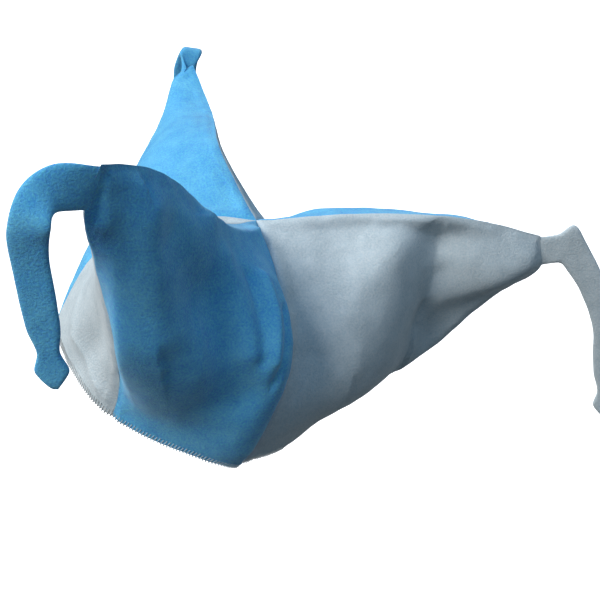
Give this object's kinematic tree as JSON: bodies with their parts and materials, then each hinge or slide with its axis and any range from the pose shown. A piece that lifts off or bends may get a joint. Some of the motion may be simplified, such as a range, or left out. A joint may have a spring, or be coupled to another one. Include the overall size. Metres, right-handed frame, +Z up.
{
  "type": "jester hat",
  "caption": "Soft fleece jester hat, worn tilted back: hollow horns sewn from light blue and white panels, each with a flat spade-ended strap hanging from its tip, open at the hem for a head.",
  "frame": {"origin": "centre of the hem's opening, where the hat sits on a head", "axes": "+Z up, -X towards the wearer's brow, +X towards the nape, -Y the wearer's left; the hem's plane leans 25.5 degrees about Y, down towards the nape"},
  "size_m": [0.4077, 0.4227, 0.2714],
  "materials": {
    "blue_fleece": "short-pile light blue fleece, matt and velvety",
    "white_fleece": "short-pile cool white fleece, matt and velvety"
  },
  "bodies": {
    "root": {"left_horn_blue_panel": "blue_fleece", "left_horn_white_panel": "white_fleece", "right_horn_blue_panel": "blue_fleece", "right_horn_white_panel": "white_fleece", "back_horn_blue_panel": "blue_fleece", "back_horn_white_panel": "white_fleece", "left_tail": "blue_fleece", "right_tail": "blue_fleece", "back_tail": "white_fleece"}
  },
  "joints": []
}
